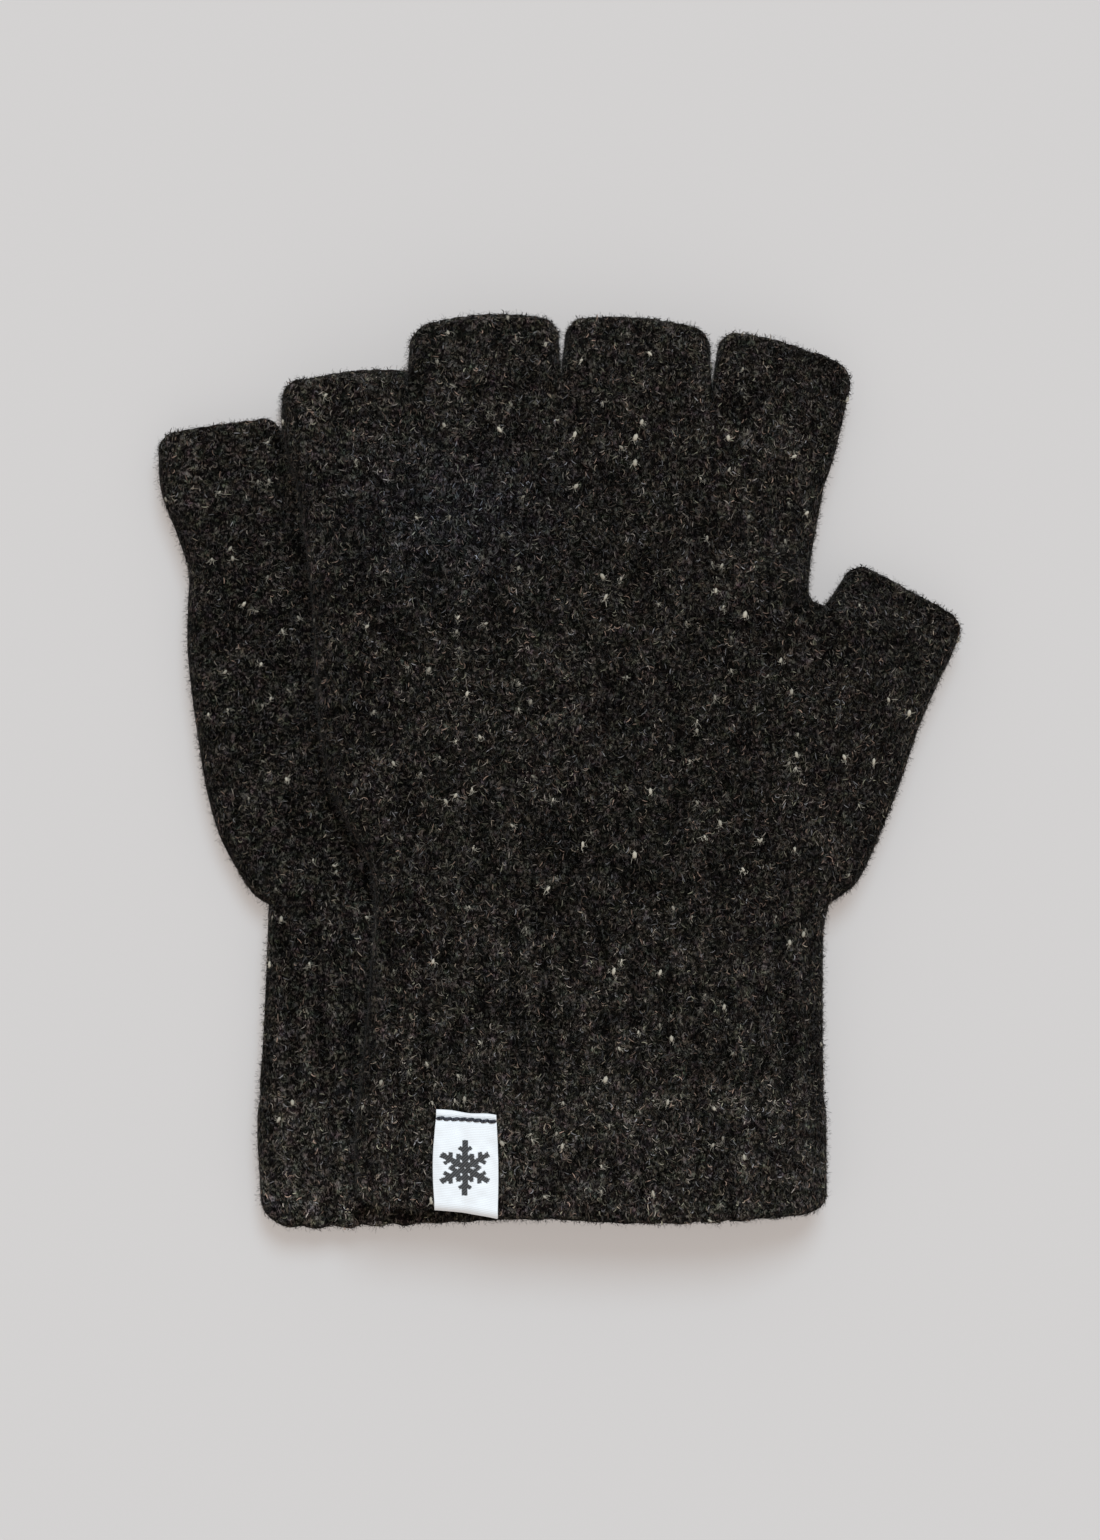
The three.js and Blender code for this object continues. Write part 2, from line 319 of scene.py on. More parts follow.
def new_mesh(name, points, quads, material, smooth=True, attributes=None):
    """A mesh object from arrays of points and of four-cornered faces."""
    quads = np.asarray(quads).reshape(-1, 4)
    mesh = bpy.data.meshes.new(name)
    mesh.vertices.add(len(points))
    mesh.vertices.foreach_set("co", np.asarray(points, np.float32).ravel())
    mesh.loops.add(quads.size)
    mesh.loops.foreach_set("vertex_index", quads.astype(np.int32).ravel())
    mesh.polygons.add(len(quads))
    mesh.polygons.foreach_set("loop_start", np.arange(0, quads.size, 4, dtype=np.int32))
    mesh.polygons.foreach_set("use_smooth", np.full(len(quads), smooth))
    mesh.update(calc_edges=True)
    for key, (kind, values) in (attributes or {}).items():
        field = mesh.attributes.new(key, kind, "POINT")
        field.data.foreach_set(HELD_AS[kind], np.asarray(values, np.float32).ravel())
    piece = bpy.data.objects.new(name, mesh)
    bpy.context.scene.collection.objects.link(piece)
    mesh.materials.append(material)
    return piece


# %% Faces of a grid
def sheet_quads(number):
    """Faces of an open grid, from the numbers of its points."""
    return np.stack([number[:-1, :-1], number[:-1, 1:], number[1:, 1:], number[1:, :-1]],
                    -1).reshape(-1, 4)


def ring_quads(loops, rows, close_rows=False):
    """Faces of a grid of rows of closed loops; close_rows joins the last row to the first."""
    i = np.arange(loops)
    j = np.arange(rows if close_rows else rows - 1)[:, None]
    k, m = (i + 1) % loops, (j + 1) % rows
    return np.stack([j * loops + i, j * loops + k, m * loops + k, m * loops + i],
                    -1).reshape(-1, 4)


def outward(points, quads):
    """The same faces, turned round if they enclose a negative volume."""
    a, b, c, d = (points[quads[:, k]] for k in range(4))
    volume = np.einsum("ij,ij->", np.cross(c - a, d - b), a + b + c + d)
    return quads if volume > 0 else quads[:, ::-1]


def shell(rows):
    """The points and outward faces of rows of loops that close on themselves both ways."""
    points = rows.reshape(-1, 3)
    return points, outward(points, ring_quads(rows.shape[1], rows.shape[0], True))


print("a closed shell of 3 rows of 4 points has", len(ring_quads(4, 3, True)), "faces")


# %% [markdown]
# ## A flattened tube
# The front wall runs from the left fold to the right one, and the back wall runs back
# again, so a row of points is a closed loop. More points stand near the folds, where the
# cloth curves. Each wall then gets its thickness: the loop goes up the outside of the
# wall, turns over at the mouth and comes back down the inside.

# %% Columns across a tube
def columns(width, reach, edge_points=7, spacing=0.9):
    """Shares of a width: reach times 1 - cos at both folds, even steps in between."""
    bend = reach * (1 - np.cos(np.linspace(0, np.pi / 2, edge_points + 1)))
    count = max(4, int(round((width - 2 * reach) / spacing)))
    flat = np.linspace(reach, width - reach, count + 1)[1:-1]
    return np.r_[bend, flat, (width - bend)[::-1]] / width


finger_columns = {}
for name, finger in FINGERS.items():
    wide = finger["right"][0][0] - finger["left"][0][0]
    finger_columns[name] = columns(wide, 4.0)
knuckle_x = np.concatenate([
    f["left"][0][0] + finger_columns[n] * (f["right"][0][0] - f["left"][0][0])
    for n, f in FINGERS.items()])
HAND_COLUMNS = (knuckle_x - knuckle_x[0]) / (knuckle_x[-1] - knuckle_x[0])
THUMB_COLUMNS = columns(THUMB_WIDTH, 5.5)
print("columns across the hand", len(HAND_COLUMNS), "across the thumb", len(THUMB_COLUMNS))


# %% Both walls of a tube
def tube_grid(x, y, name, glove, set_back=0.0):
    """Rows of closed loops: the front wall left to right, then the back wall right to left.

    At the mouth the front wall stops set_back short of the back one, easing out downwards.
    """
    share = np.linspace(0, 1, len(x))[:, None]**3
    width = np.hypot(x - x[:, :1], y - y[:, :1])
    middle_part = np.clip(np.sin(np.pi * width / width[:, -1:]), 0, 1)**0.6
    short = set_back * share * middle_part
    ahead = np.stack([np.gradient(x, axis=0), np.gradient(y, axis=0)])
    ahead = ahead / np.maximum(np.hypot(*ahead), 1e-6)
    xf, yf = x - ahead[0] * short, y - ahead[1] * short
    front = cloth_height(xf, yf, name, glove, True)
    back = cloth_height(x, y, name, glove, False)
    middle = (front[:, [0, -1]] + back[:, [0, -1]]) / 2
    front[:, [0, -1]] = middle
    top = np.stack([xf, yf, front], -1)
    under = np.stack([x, y, back], -1)[:, -2:0:-1]
    return np.concatenate([top, under], 1)


def normals_of(grid):
    """Unit normals of a grid of loops: the cross product of its two directions."""
    across = np.roll(grid, -1, 1) - np.roll(grid, 1, 1)
    along = np.gradient(grid, axis=0)
    n = np.cross(across, along)
    return n / np.maximum(np.linalg.norm(n, axis=-1, keepdims=True), 1e-9)


def thick_wall(grid, wall, turn_rows=4, turn_start=False):
    """Outside of the wall, a half circle over its mouth, and the inside back again.

    The half circle at the mouth is centre + (normal cos a + along sin a) * wall / 2.
    """
    normal = normals_of(grid)

    def turn(row, step, a0, a1):
        ahead = grid[row] - grid[row - step]
        ahead /= np.maximum(np.linalg.norm(ahead, axis=-1, keepdims=True), 1e-9)
        centre = grid[row] - normal[row] * wall / 2
        a = np.linspace(a0, a1, turn_rows + 2)[1:-1, None, None]
        return centre + (normal[row] * np.cos(a) + ahead * np.sin(a)) * wall / 2

    parts = [grid, turn(-1, 1, 0, np.pi), (grid - normal * wall)[::-1]]
    if turn_start:
        parts.append(turn(0, -1, np.pi, 0))
    return np.concatenate(parts), normal


print("a wall's loop of 40 rows has", len(thick_wall(np.zeros((40, 4, 3)), WALL)[0]), "rows")

# %% [markdown]
# ## Shader arithmetic
# A material is written as sums: the small class below stands for one value in a node tree,
# and an expression on it adds the Math nodes. Every other node comes from one method.

# %% Values in a node tree
class Value:
    """One output in a node tree; +, - and * on it add Math nodes."""

    def __init__(self, paint, socket):
        self.paint, self.socket = paint, socket

    def math(self, operation, other, swapped=False):
        first, second = (other, self) if swapped else (self, other)
        return self.paint.node("Math", dict(operation=operation), {0: first, 1: second})

    def __add__(self, other): return self.math("ADD", other)
    def __radd__(self, other): return self.math("ADD", other, True)
    def __sub__(self, other): return self.math("SUBTRACT", other)
    def __rsub__(self, other): return self.math("SUBTRACT", other, True)
    def __mul__(self, other): return self.math("MULTIPLY", other)
    def __rmul__(self, other): return self.math("MULTIPLY", other, True)

    def between(self, low, high):
        """0 below low, 1 above high, eased in between."""
        return self.paint.node("MapRange", dict(interpolation_type="SMOOTHSTEP"),
                               {"Value": self, "From Min": low, "From Max": high})


class Paint:
    """A material with one Principled shader."""

    def __init__(self, name, **uniform):
        self.material = bpy.data.materials.new(name)
        self.material.use_nodes = True
        self.tree = self.material.node_tree
        self.shader = self.tree.nodes["Principled BSDF"]
        for key, value in uniform.items():
            self.shader.inputs[key.replace("_", " ")].default_value = value

    def node(self, kind, settings, sockets, output=0):
        """A node of a kind: its settings first, then its sockets, given the output wanted."""
        node = self.tree.nodes.new("ShaderNode" + kind)
        for key, value in settings.items():
            setattr(node, key, value)
        for key, value in sockets.items():
            if isinstance(value, Value):
                self.tree.links.new(value.socket, node.inputs[key])
            else:
                node.inputs[key].default_value = value
        return Value(self, node.outputs[output])

    def attribute(self, name, output):
        """What the mesh holds under a name at each point."""
        return self.node("Attribute", dict(attribute_name=name), {}, output=output)

    def wave(self, value):
        return self.node("Math", dict(operation="SINE"), {0: value})

    def mix(self, amount, first, second, blend="MIX"):
        """A colour between two, by an amount from 0 to 1."""
        return self.node("Mix", dict(data_type="RGBA", blend_type=blend),
                         {0: amount, 6: first, 7: second}, output=2)

    def noise(self, place, size, detail=2.0, rough=0.5, warp=0.0, output="Fac"):
        """Cloudy noise whose lumps are about size across."""
        return self.node("TexNoise", dict(noise_dimensions="3D"), {
            "Vector": place, "Scale": 1.0 / size, "Detail": detail, "Roughness": rough,
            "Distortion": warp}, output=output)

    def stretched(self, place, angle, ratio):
        """A place turned in the plane and squeezed, so a pattern on it becomes streaks."""
        return self.node("Mapping", dict(vector_type="POINT"), {
            "Vector": place, "Rotation": (0, 0, angle), "Scale": (1, ratio, 1)})

    def axes(self, place):
        """The first two coordinates of a place."""
        return [self.node("SeparateXYZ", {}, {0: place}, output=k) for k in "XY"]

    def wire(self, socket, value):
        self.tree.links.new(value.socket, self.shader.inputs[socket])

    def bump(self, strength, distance, height):
        """Slopes of a height, which turn the light without moving the surface."""
        self.wire("Normal", self.node("Bump", {}, {
            "Strength": strength, "Distance": distance, "Height": height}))


def grey(value, warm=0.0):
    """A colour from one lightness, a little warmer or cooler."""
    return (value * (1 + warm), value, value * (1 - warm), 1)


print("a warm grey", [round(v, 4) for v in grey(0.05, 0.1)])


# %% [markdown]
# ## Where the wool is paler, and where shade is painted
# Felting is uneven: the fingertips, the rib and most of all the hem stay paler, and small
# patches are lighter or darker. Shade is painted in as well: on the cuff the raised ribs are
# painted lighter and the furrows between them darker. Painting this by hand would not carry
# on from piece to piece, so it is a function of the place on the pattern, kept in the mesh at
# each point.

# %% Tone, with painted shade on the ribs
def tone_and_painted_shade(x, y, name):
    """How light the wool is: a colour that its own colours are multiplied by.

    It grows towards the fingertips, the cuff and the hem, and is mottled by e to the power of
    small lumps. On the ribs it is painted shade and light: higher on the raised ribs, lower in
    the furrows. The upper glove has one faint cool streak.
    """
    tips, cuff, hem = ease((y - 140) / 20), ease((66 - y) / 12), ease((31 - y) / 9)
    light = (0.70 + 0.08 * tips + 0.10 * cuff + 0.28 * hem
             + (0.16 * hem if name == "under" else 0))
    # Painted shade: the raised ribs are painted lighter and the furrows between them darker,
    # less so on the hem.
    light = light * (1 + (0.34 - 0.18 * hem) * rib(x, y)) * (1 + 0.10 * lumps(x, y, 24, 41))
    light = light * np.exp(0.40 * lumps(x, y, 3.4, 43) + 0.48 * lumps(x, y, 1.7, 47))
    cool = 0.25 * np.exp(-(((x + 29) / 1.4)**2 + (y - 141)**2) / 200) * (name == "upper")
    return np.stack([light * (1.12 + 0.9 * cool), light * (1 + 1.3 * cool),
                     light * (0.89 + 2.0 * cool), np.ones_like(light)], -1)


print("tone of the hem, hand and fingertips", [
    round(float(tone_and_painted_shade(np.array(0.), np.array(y), "upper")[1]), 2) for y in (5.0, 100.0, 170.0)])


# %% [markdown]
# ## Charcoal melange wool
# The yarn is spun from fibres dyed in several shades: mostly black-brown, with mid grey,
# and a little rust, olive and blue, so the cloth looks mottled close up and charcoal from
# afar. A real fibre is far finer than the mottling, so two scales are painted: clumps of a
# millimetre or two, and curly strands. A strand is where a warped noise crosses its middle
# value, which draws thin winding lines. The pattern lives on the cloth's own coordinates,
# in millimetres, so it stays put when a finger folds.

# %% Wool
WALE, COURSE = 1.8, 1.35   # width of a knitted column and height of a row
WARM = 0.09                # how much warmer than grey the wool is


def wool(name, painted_light_gain=1.0):
    """The wool finish; lift makes it lighter."""
    p = Paint(name, Roughness=0.95, Sheen_Weight=0.12, Sheen_Roughness=0.25,
              Sheen_Tint=(0.5, 0.47, 0.44, 1), Specular_IOR_Level=0.0)
    place = p.attribute("cloth", "Vector")
    clumps = p.noise(place, 1.15, detail=2, rough=0.65)

    def strands(angle, size, ratio, width):
        """Thin winding lines: 1 where the noise is near one half, 0 away from it."""
        field = p.noise(p.stretched(place, angle, ratio), size, detail=1.0, rough=0.5,
                        warp=0.7)
        off = p.node("Math", dict(operation="ABSOLUTE"), {0: field - 0.5})
        return 1 - off.between(width * 0.25, width)

    def dye(lightness, warm=WARM):
        return grey(lightness * painted_light_gain, warm)

    upright = strands(0.15, 0.68, 0.42, 0.09)
    left_leaning = strands(0.95, 0.60, 0.45, 0.08)
    right_leaning = strands(-0.85, 0.64, 0.45, 0.08)
    pale = p.noise(place, 0.85, detail=1).between(0.44, 0.60)
    shade = p.mix(clumps.between(0.40, 0.66), dye(0.0011), dye(0.0046))
    shade = p.mix(upright * (0.08 + 0.75 * pale), shade, dye(0.056))
    shade = p.mix(left_leaning * pale, shade, dye(0.078, WARM * 0.7))
    shade = p.mix(right_leaning * (1 - pale) * 0.6, shade, dye(0.016, 0.02))
    tint = p.noise(place, 2.2, detail=2, output="Color")
    tinted = p.mix(0.35, shade, tint, "SOFT_LIGHT")
    apart, along = p.axes(place)
    wobble = p.noise(place, 3.5, detail=1) * 5.0
    wales = p.wave(apart * (TURN / WALE) + wobble)
    courses = p.wave(along * (TURN / COURSE) + wobble)
    # Painted shade of the stitches: the colour is made lighter and darker along the knitted
    # columns and rows, as their relief would shade it.
    knitted = p.node("VectorMath", dict(operation="SCALE"),
                     {0: tinted, "Scale": 1 + wales * 0.16 + courses * 0.10})
    # The tone multiplies in, and with it the painted shade of the ribs.
    p.wire("Base Color", p.mix(1.0, knitted, p.attribute("tone_and_painted_shade", "Color"), "MULTIPLY"))
    p.bump(0.9, 0.0003, clumps * 0.6 + upright * 0.25 + left_leaning * 0.25 + wales * 0.12)
    return p.material


WOOL = {part: wool("wool_" + part) for part in ("hem", "rib", "hand", "finger")}
# The bound-off edge gets a painted highlight: its wool is painted 1.6 times lighter, as if its
# rim caught the light.
WOOL["edge"] = wool("wool_edge", painted_light_gain=1.6)
print("wool finishes", sorted(WOOL))

# %% [markdown]
# ## Loose fibres
# What makes wool look like wool is the nap: short curled fibres that stand off the cloth.
# Each fibre is a ribbon of three faces, bent in an arc and lifted a little. Their colours
# are carried in the mesh, so one finish serves all of them. Neps, the small cream knots
# that make the yarn tweedy, are lens shapes of the same mesh with a few pale fibres round
# them.

# %% Fibre finish
def nap_finish():
    p = Paint("wool_nap", Roughness=0.9, Specular_IOR_Level=0.03, Sheen_Weight=0.20,
              Sheen_Roughness=0.35, Sheen_Tint=(0.55, 0.51, 0.47, 1))
    p.wire("Base Color", p.attribute("shade", "Color"))
    return p.material


NAP = nap_finish()
print("fibre finish", NAP.name)

# %% [markdown]
# ## Shapes of the fibres
# A hair system would be the usual way, but it gives no mesh to keep. Here each fibre is
# worked out at once with all the others, as arrays: a random place on the cloth, two
# directions along the cloth there, and an arc between them that lifts off it.


# %% Scatter points on a grid
def scatter(grid, normal, count, rng, closed, weight):
    """Random points on a grid, as many per area and weight, with their normals.

    The rows are closed loops or, on a strip, open lines.
    """
    a, b = grid[:-1], grid[1:]
    ra, rb = np.roll(a, -1, 1), np.roll(b, -1, 1)
    area = np.linalg.norm(np.cross(rb - a, ra - b), axis=-1) * weight
    if not closed:
        area[:, -1] = 0
    share = np.cumsum(area.ravel())
    cell = np.searchsorted(share, rng.random(count) * share[-1])
    j, i = np.divmod(cell, grid.shape[1])
    k = (i + 1) % grid.shape[1]
    u, v = rng.random((2, count, 1))
    place = ((1 - v) * ((1 - u) * grid[j, i] + u * grid[j, k])
             + v * ((1 - u) * grid[j + 1, i] + u * grid[j + 1, k]))
    return place, normal[j, i]


# %% Arcs and lenses
def directions(normal, angle):
    """Two directions along the surface: the first at an angle, the second across it."""
    flat = np.cross(normal, [0.0, 1.0, 0.03])
    flat /= np.maximum(np.linalg.norm(flat, axis=-1, keepdims=True), 1e-6)
    other = np.cross(normal, flat)
    c, s = np.cos(angle)[:, None], np.sin(angle)[:, None]
    return flat * c + other * s, other * c - flat * s


def ribbons(place, normal, angle, length, width, curl, rise, colour):
    """Arcs of three faces: forward L sin(ks)/k, sideways L(1 - cos ks)/k, lifted with s."""
    d, side = directions(normal, angle)
    s = np.array([0, 0.36, 0.7, 1.0])[None, :]
    k = np.where(np.abs(curl) < 0.05, 0.05, curl)[:, None]
    forward = length[:, None] * np.sin(k * s) / k
    across = length[:, None] * (1 - np.cos(k * s)) / k
    up = 0.05 + rise[:, None] * (0.35 * np.sin(np.pi * s) + 0.65 * s**1.5)
    centre = (place[:, None] + d[:, None] * forward[..., None]
              + side[:, None] * across[..., None] + normal[:, None] * up[..., None])
    out = (side[:, None] * np.cos(k * s)[..., None] - d[:, None] * np.sin(k * s)[..., None])
    half = (width[:, None] * np.array([0.55, 1, 0.9, 0.35])[None, :] / 2)[..., None]
    points = np.stack([centre - out * half, centre + out * half], 2).reshape(-1, 3)
    start = (np.arange(len(place)) * 8)[:, None, None]
    faces = start + np.array([[0, 2, 3, 1], [2, 4, 5, 3], [4, 6, 7, 5]])
    return points, faces.reshape(-1, 4), np.repeat(colour, 8, 0)


LENS = np.array([(-0.02, -0.2), (0.55, -0.1), (1.0, 0.15), (0.7, 0.55), (0.02, 0.75)])


def lenses(place, normal, angle, length, width, colour):
    """Ovals: rings of six points, out to full size and in again while they rise."""
    d, side = directions(normal, angle)
    turn = np.linspace(0, TURN, 6, endpoint=False)
    u, v = LENS[:, :1] * np.cos(turn), LENS[:, :1] * np.sin(turn)
    w = np.repeat(LENS[:, 1:], 6, 1)
    long, wide = (size[:, None, None, None] for size in (length, width))
    points = (place[:, None, None] + d[:, None, None] * (u[..., None] * long / 2)
              + side[:, None, None] * (v[..., None] * wide / 2)
              + normal[:, None, None] * (w[..., None] * wide * 0.7))
    faces = (np.arange(len(place)) * 30)[:, None, None] + ring_quads(6, len(LENS))
    return points.reshape(-1, 3), faces.reshape(-1, 4), np.repeat(colour, 30, 0)


print("faces of a nep", len(ring_quads(6, len(LENS))))

# %% [markdown]
# ## Three kinds of nap
# Felted fibres lie close to the cloth, mostly along the glove, in dyes from near black to
# pale grey. Loose ones are finer and paler, and stand off most where the cloth turns away
# from above, so they soften the outline; there they are also painted paler, a painted rim
# light. Neps are few and cream.

# %% Felted fibres, loose fibres and neps
FIBRE_TINTS = np.array([    # brown, rust, blue, red-brown, olive, brown
    (1.06, 0.98, 0.90), (1.12, 0.97, 0.80), (0.95, 0.98, 1.08),
    (1.24, 0.92, 0.78), (1.02, 1.03, 0.82), (1.06, 0.98, 0.92)])
CREAM = np.array([0.50, 0.44, 0.35])
ROUND_A_NEP = 9            # pale fibres round each nep


def opaque(colour):
    """A list of colours with the fourth value, 1, that a colour attribute has."""
    return np.c_[colour, np.ones(len(colour))]


def felted_fibres(place, normal, rng, which):
    """Wide, short and low; their lightness is e to the power of a normal number."""
    count = len(place)
    shade = np.clip(0.0115 * np.exp(1.5 * rng.standard_normal(count)), 0.0008, 0.22)
    tint = FIBRE_TINTS[rng.integers(0, len(FIBRE_TINTS), count)]
    # The fibres take the wool's tone, with its painted shade on the ribs.
    colour = opaque(shade[:, None] * tint * tone_and_painted_shade(place[:, 0], place[:, 1], which)[:, :3])
    length = rng.uniform(0.7, 1.5, count)
    angle = np.where(rng.random(count) < 0.6, rng.normal(np.pi / 2, 0.7, count),
                     rng.uniform(0, TURN, count))
    return ribbons(place, normal, angle, length, rng.uniform(0.12, 0.20, count),
                   rng.normal(0, 1.7, count),
                   np.minimum(rng.exponential(0.12, count) + 0.02, 0.45), colour)


def loose_fibres(place, normal, rng):
    """Fine and pale, standing off further where the normal is level: edge is near 1."""
    count = len(place)
    edge = (1 - np.abs(normal[:, 2]))**1.2
    # Painted rim light: where the cloth is steep the fibres are painted up to 0.3 times
    # lighter.
    pale = opaque(rng.uniform(0.015, 0.075, (count, 1)) * (1 + 0.3 * edge[:, None])
                  * np.array([(1.05, 0.98, 0.92)]))
    return ribbons(place, normal, rng.uniform(0, TURN, count), rng.uniform(0.7, 1.7, count),
                   rng.uniform(0.035, 0.065, count), rng.normal(0, 1.8, count),
                   rng.uniform(0.1, 0.6, count) + edge * rng.uniform(0, 1.5, count), pale)


def nep_knots(place, normal, rng):
    """Lenses, some cream and some faint, and ROUND_A_NEP fibres scattered round each."""
    knots, many = len(place), len(place) * ROUND_A_NEP
    strong = rng.random(knots)**1.4
    cream = CREAM * (0.17 + 0.88 * strong)[:, None]
    angle = rng.normal(np.pi / 2, 0.45, knots)
    size = rng.uniform(0.7, 1.4, knots) * (0.7 + 0.6 * strong)
    middles = lenses(place, normal, angle, size, size * rng.uniform(0.42, 0.62, knots),
                     opaque(cream))
    near = np.repeat(place, ROUND_A_NEP, 0) + rng.normal(0, 0.28, (many, 3)) * (1, 1, 0.2)
    hairs = ribbons(near, np.repeat(normal, ROUND_A_NEP, 0),
                    np.repeat(angle, ROUND_A_NEP) + rng.normal(0, 0.9, many),
                    rng.uniform(0.5, 1.5, many), rng.uniform(0.07, 0.13, many),
                    rng.normal(0, 1.6, many), rng.uniform(0.05, 0.3, many),
                    opaque(np.repeat(cream, ROUND_A_NEP, 0)
                           * rng.uniform(0.25, 0.9, (many, 1))))
    return middles, hairs


# %% The nap of one piece
NEPS_PER_MM2 = 0.0135
NAP_PER_MM2 = {"upper": 3.35, "under": 1.95}
BENEATH = 0.40             # share of the fibres on surfaces that face down


def clear_of_label(name, place):
    """False where the label lies on the upper hem."""
    if name != "upper_cuff_hem_nap":
        return np.ones(len(place), bool)
    x, y, z = place.T
    return ~((x > LABEL_LEFT - 0.9) & (x < LABEL_RIGHT + 0.6) & (y < LABEL_TOP + 0.2)
             & (z > MIDDLE_Z))


def add_nap(name, which, grid, normal, seed, per_mm2=None, closed=True, neps=NEPS_PER_MM2):
    """Fibres and neps on a piece's outside, as one mesh."""
    rng = np.random.default_rng(seed)
    cells = np.linalg.norm(np.cross(np.diff(grid, axis=0)[:, :-1],
                                    np.diff(grid, axis=1)[:-1]), axis=-1)
    facing = np.where(normal[:-1, :, 2] < -0.3, BENEATH, 1.0)
    steep = 0.3 + 3.6 * (1 - np.abs(normal[:-1, :, 2]))**1.5

    def spread(amount, weight=1.0):
        place, n = scatter(grid, normal, int(amount), rng, closed, weight)
        seen = clear_of_label(name, place)
        return place[seen], n[seen]

    per_mm2 = (per_mm2 or NAP_PER_MM2[which]) * 1.0
    felted = felted_fibres(*spread((cells * facing[:, :-1]).sum() * per_mm2, facing),
                           rng, which)
    loose = loose_fibres(*spread((cells * (steep * facing)[:, :-1]).sum() * 0.95,
                                 steep * facing), rng)
    middles, hairs = nep_knots(*spread(max(2, int(cells.sum() * neps))), rng)
    parts = (felted, loose, middles, hairs)
    starts = np.cumsum([0] + [len(p[0]) for p in parts])
    points = lay(np.concatenate([p[0] for p in parts]), GLOVES[which])
    faces = np.concatenate([p[1] + s for p, s in zip(parts, starts)])
    colours = np.concatenate([p[2] for p in parts])
    print(name, (len(felted[1]) + len(loose[1])) // 3, "fibres", len(middles[0]) // 30, "neps")
    return new_mesh(name, points, faces, NAP, True, {"shade": ("FLOAT_COLOR", colours)})


# %% [markdown]
# ## Building a glove
# Each piece is made on the pattern and laid in place. Where a finger leaves the hand the
# knitting is unbroken, and riding the tube whole would open a gap there. So a piece of a part
# listed in BEND stays where it is laid, on no body, except its bound-off edge, which rides the
# part; every other piece rides its glove or the upper cuff.

# %% Pieces left at the joints, pieces that ride
BEND = {
    ("upper", "little_finger"): ("upper_glove", "upper_little"),
    ("upper", "ring_finger"): ("upper_glove", "upper_ring"),
    ("upper", "middle_finger"): ("upper_glove", "upper_middle"),
    ("upper", "index_finger"): ("upper_glove", "upper_index"),
    ("upper", "thumb"): ("upper_glove", "upper_thumb_tube"),
    ("upper", "cuff_rib"): ("upper_glove", "upper_cuff"),
    ("under", "little_finger"): ("under_glove", "under_little"),
}
FOLD = 10                  # length of the bend at the root of a finger
BEND_LINE = {part: ((x, KNUCKLE), (x, KNUCKLE + FOLD)) for part, x in (
    ("little_finger", -48), ("ring_finger", -22), ("middle_finger", 9), ("index_finger", 35))}
BEND_LINE["thumb"] = (on_thumb(14, 0), on_thumb(14, 7))
BEND_LINE["cuff_rib"] = ((0, WRIST), (0, WRIST - 11))


def hold(piece, which, part, far=False):
    """Leave a piece of a part in BEND where it is, on no body, unless it is far, beyond the
    bend, where it rides the part; other pieces ride their glove or the upper cuff.
    """
    bodies = BEND.get((which, part))
    if bodies and not far:
        ends = [lay((*p, MIDDLE_Z), GLOVES[which]) for p in BEND_LINE[part]]
        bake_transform(piece)
    elif bodies:
        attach(piece, bodies[1])
    else:
        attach(piece, "upper_cuff" if (which, part) == ("upper", "cuff_hem")
                else which + "_glove")


print(len(BEND), "parts of the gloves bend at their roots")


# %% The knitting of a piece, and its nap
def knit(which, node, part, finish, points, quads, ending="knit"):
    """Lay the wall in place, named after the part it stands for, hide that part, and hold it.
    """
    piece = new_mesh(f"{which}_{node}_{ending}", lay(points, GLOVES[which]), quads,
                     WOOL[finish], True,
                     {"cloth": ("FLOAT_VECTOR", points),
                      "tone_and_painted_shade": ("FLOAT_COLOR", tone_and_painted_shade(points[:, 0], points[:, 1], which))})
    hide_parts(f"{which}_{node}")
    "wool_" + finish
    hold(piece, which, part, far=finish == "edge")
    print(piece.name, len(quads), "faces")
    return piece


def fuzz(which, where, part, finish, grid, normal, seed, **nap):
    """Cover a grid with nap, which moves with the knitting below it."""
    piece = add_nap(f"{which}_{where}_nap", which, grid, normal, seed, **nap)
    hold(piece, which, part, far=finish == "edge")


# %% [markdown]
# ### Tubes
# A finger tube is a patch between four curves: its root line, its two sides and its mouth.
# The mouth is bowed, and it drops at both sides, where the edge of a flattened tube rounds
# over. A cylinder pressed flat would not meet its neighbours along the slits, so the Coons
# formula fills the patch from the four curves.

# %% Finger patch
CORNER = 2.7               # rounding of a mouth at its two sides
MOUTH_BACK = 1.25          # the bound-off edge stands this far beyond the wall
LAST = 4                   # the end of a side that shows which way the tube points


def length_of(curve):
    return np.linalg.norm(np.diff(curve, axis=0), axis=1).sum()


def corner_drop(from_side, radius):
    """A quarter circle's drop: radius less the root of radius^2 - (radius - distance)^2."""
    return radius * (1 - np.sqrt(1 - (1 - np.clip(from_side / radius, 0, 1))**2))


